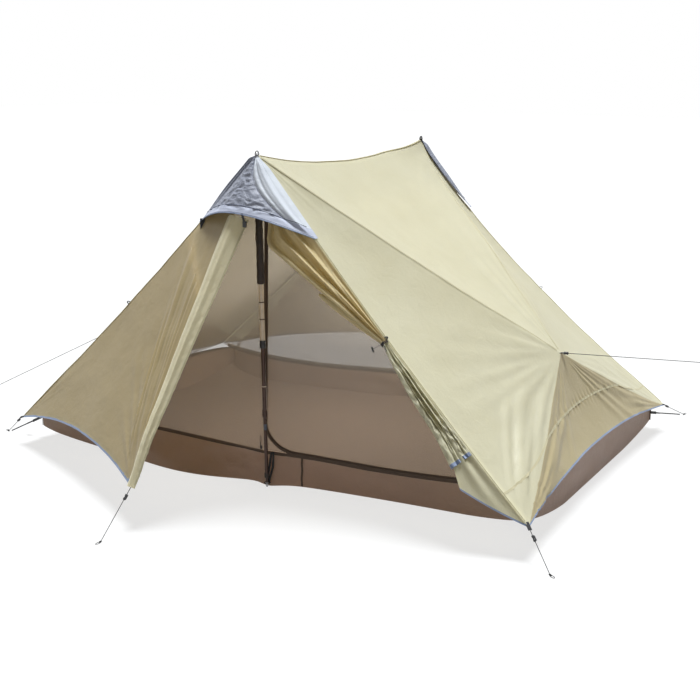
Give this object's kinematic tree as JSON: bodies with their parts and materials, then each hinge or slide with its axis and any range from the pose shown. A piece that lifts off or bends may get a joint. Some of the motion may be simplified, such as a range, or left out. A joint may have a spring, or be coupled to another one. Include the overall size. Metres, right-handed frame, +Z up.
{
  "type": "trekking pole tent",
  "caption": "Ridge tent pitched on two trekking poles, with zipped canopy doors, grey hoods, a mesh inner tent with a bathtub floor and guy lines.",
  "frame": {"origin": "on the ground at the middle of the tent, between the two poles", "axes": "+Z up, +X along the long side to the right as seen from the open front door, -Y towards the front door"},
  "size_m": [3.6312, 2.8416, 1.2699],
  "materials": {
    "khaki_nylon": "satin",
    "grey_nylon": "satin",
    "brown_nylon": "satin",
    "dark_mesh": "matte",
    "black_plastic": "matte",
    "cream_tube": "satin",
    "dark_tube": "satin",
    "guy_cord": "matte"
  },
  "bodies": {
    "root": {"door_head_front": "khaki_nylon", "door_head_rear": "khaki_nylon", "door_tie": "black_plastic", "fly_door_front_right": "khaki_nylon", "fly_end_left": "khaki_nylon", "fly_end_right": "khaki_nylon", "fly_front_left": "khaki_nylon", "fly_front_right": "khaki_nylon", "fly_rear_left": "khaki_nylon", "fly_rear_right": "khaki_nylon", "fly_roof_left": "khaki_nylon", "fly_roof_right": "khaki_nylon", "guy_front_left": "guy_cord", "guy_front_right": "guy_cord", "guy_mid_left": "guy_cord", "guy_mid_right": "guy_cord", "guy_rear_left": "guy_cord", "guy_rear_right": "guy_cord", "hood_front": "grey_nylon", "hood_rear": "grey_nylon", "inner_floor": "brown_nylon", "inner_mesh_front": "dark_mesh", "inner_mesh_left": "dark_mesh", "inner_mesh_rear": "dark_mesh", "inner_mesh_right": "dark_mesh", "inner_tub_front": "brown_nylon", "inner_tub_left": "brown_nylon", "inner_tub_rear": "brown_nylon", "inner_tub_right": "brown_nylon", "peak_cap_front": "black_plastic", "peak_cap_rear": "black_plastic", "pole_front_grip": "black_plastic", "pole_front_upper_tube": "cream_tube", "pole_rear_grip": "black_plastic", "pole_rear_upper_tube": "cream_tube"},
    "door_front_left": {"fly_door_front_left": "khaki_nylon", "guy_front": "guy_cord"},
    "door_rear_right": {"fly_door_rear_right": "khaki_nylon", "guy_rear": "guy_cord"},
    "door_rear_left": {"fly_door_rear_left": "khaki_nylon"},
    "fly_slider_front": {"fly_zip_slider_front": "black_plastic"},
    "fly_slider_rear": {"fly_zip_slider_rear": "black_plastic"},
    "inner_door_front": {"inner_door_front": "dark_mesh"},
    "inner_slider_front": {"inner_zip_slider_front": "black_plastic"},
    "inner_door_rear": {"inner_door_rear": "dark_mesh"},
    "inner_slider_rear": {"inner_zip_slider_rear": "black_plastic"},
    "pole_front_upper_lock": {"pole_front_upper_lock": "black_plastic"},
    "pole_front_middle_tube": {"pole_front_middle_tube": "dark_tube"},
    "pole_front_lower_lock": {"pole_front_lower_lock": "black_plastic"},
    "pole_front_lower_tube": {"pole_front_lower_tube": "dark_tube"},
    "pole_rear_upper_lock": {"pole_rear_upper_lock": "black_plastic"},
    "pole_rear_middle_tube": {"pole_rear_middle_tube": "dark_tube"},
    "pole_rear_lower_lock": {"pole_rear_lower_lock": "black_plastic"},
    "pole_rear_lower_tube": {"pole_rear_lower_tube": "dark_tube"},
    "tensioner_front_left": {"tensioner_front_left": "black_plastic"},
    "tensioner_front_right": {"tensioner_front_right": "black_plastic"},
    "tensioner_rear_right": {"tensioner_rear_right": "black_plastic"},
    "tensioner_rear_left": {"tensioner_rear_left": "black_plastic"},
    "tensioner_front": {"tensioner_front": "black_plastic"},
    "tensioner_rear": {"tensioner_rear": "black_plastic"}
  },
  "joints": [
    {"name": "door_front_left_swing", "type": "hinge", "parent": "root", "child": "door_front_left", "pos_m": [-0.292, -0.69125, 0.947], "axis": [-0.7213, -0.0896, -0.6868], "range_deg": [0, 100]},
    {"name": "door_rear_right_swing", "type": "hinge", "parent": "root", "child": "door_rear_right", "pos_m": [0.292, 0.69125, 0.947], "axis": [0.7213, 0.0896, -0.6868], "range_deg": [0, 100]},
    {"name": "door_rear_left_swing", "type": "hinge", "parent": "root", "child": "door_rear_left", "pos_m": [-0.292, 0.69125, 0.947], "axis": [0.7213, -0.0896, 0.6868], "range_deg": [0, 100]},
    {"name": "fly_zip_front_run", "type": "slide", "parent": "door_front_left", "child": "fly_slider_front", "axis": [-0.1146, -0.4678, -0.8764], "range_m": [0, 0.623]},
    {"name": "fly_zip_rear_run", "type": "slide", "parent": "door_rear_right", "child": "fly_slider_rear", "axis": [0, 0.4709, -0.8822], "range_m": [0, 0.542]},
    {"name": "inner_door_front_swing", "type": "hinge", "parent": "root", "child": "inner_door_front", "pos_m": [0, -0.615, 1.17], "axis": [0.7373, 0.0503, -0.6737], "range_deg": [0, 50]},
    {"name": "inner_zip_front_run", "type": "slide", "parent": "root", "child": "inner_slider_front", "axis": [0, 0.0384, 0.9993], "range_m": [0, 0.951]},
    {"name": "inner_door_rear_swing", "type": "hinge", "parent": "root", "child": "inner_door_rear", "pos_m": [0, 0.615, 1.17], "axis": [-0.7373, -0.0503, -0.6737], "range_deg": [0, 50]},
    {"name": "inner_zip_rear_run", "type": "slide", "parent": "root", "child": "inner_slider_rear", "axis": [0, -0.0384, 0.9993], "range_m": [0, 0.951]},
    {"name": "pole_front_upper_lock_twist", "type": "hinge", "parent": "root", "child": "pole_front_upper_lock", "pos_m": [0.025, -0.67722, 0.56467], "axis": [-0.0354, 0.0315, 0.9989], "range_deg": [0, 120]},
    {"name": "pole_front_middle_slide", "type": "slide", "parent": "root", "child": "pole_front_middle_tube", "axis": [-0.0354, 0.0315, 0.9989], "range_m": [0, 0.23]},
    {"name": "pole_front_lower_lock_twist", "type": "hinge", "parent": "pole_front_middle_tube", "child": "pole_front_lower_lock", "pos_m": [0.03456, -0.68572, 0.29497], "axis": [-0.0354, 0.0315, 0.9989], "range_deg": [0, 120]},
    {"name": "pole_front_lower_slide", "type": "slide", "parent": "pole_front_middle_tube", "child": "pole_front_lower_tube", "axis": [-0.0354, 0.0315, 0.9989], "range_m": [0, 0.2]},
    {"name": "pole_rear_upper_lock_twist", "type": "hinge", "parent": "root", "child": "pole_rear_upper_lock", "pos_m": [-0.025, 0.67722, 0.56467], "axis": [0.0354, -0.0315, 0.9989], "range_deg": [0, 120]},
    {"name": "pole_rear_middle_slide", "type": "slide", "parent": "root", "child": "pole_rear_middle_tube", "axis": [0.0354, -0.0315, 0.9989], "range_m": [0, 0.23]},
    {"name": "pole_rear_lower_lock_twist", "type": "hinge", "parent": "pole_rear_middle_tube", "child": "pole_rear_lower_lock", "pos_m": [-0.03456, 0.68572, 0.29497], "axis": [0.0354, -0.0315, 0.9989], "range_deg": [0, 120]},
    {"name": "pole_rear_lower_slide", "type": "slide", "parent": "pole_rear_middle_tube", "child": "pole_rear_lower_tube", "axis": [0.0354, -0.0315, 0.9989], "range_m": [0, 0.2]},
    {"name": "tensioner_front_left_slide", "type": "slide", "parent": "root", "child": "tensioner_front_left", "axis": [-0.7843, 0.3581, -0.5066], "range_m": [0, 0.141]},
    {"name": "tensioner_front_right_slide", "type": "slide", "parent": "root", "child": "tensioner_front_right", "axis": [0.6227, -0.444, -0.6443], "range_m": [0, 0.093]},
    {"name": "tensioner_rear_right_slide", "type": "slide", "parent": "root", "child": "tensioner_rear_right", "axis": [0.0866, 0.918, -0.3871], "range_m": [0, 0.209]},
    {"name": "tensioner_rear_left_slide", "type": "slide", "parent": "root", "child": "tensioner_rear_left", "axis": [-0.6227, 0.444, -0.6443], "range_m": [0, 0.093]},
    {"name": "tensioner_front_slide", "type": "slide", "parent": "door_front_left", "child": "tensioner_front", "axis": [0, -0.7517, -0.6595], "range_m": [0, 0.139]},
    {"name": "tensioner_rear_slide", "type": "slide", "parent": "door_rear_right", "child": "tensioner_rear", "axis": [0, 0.7517, -0.6595], "range_m": [0, 0.139]}
  ]
}
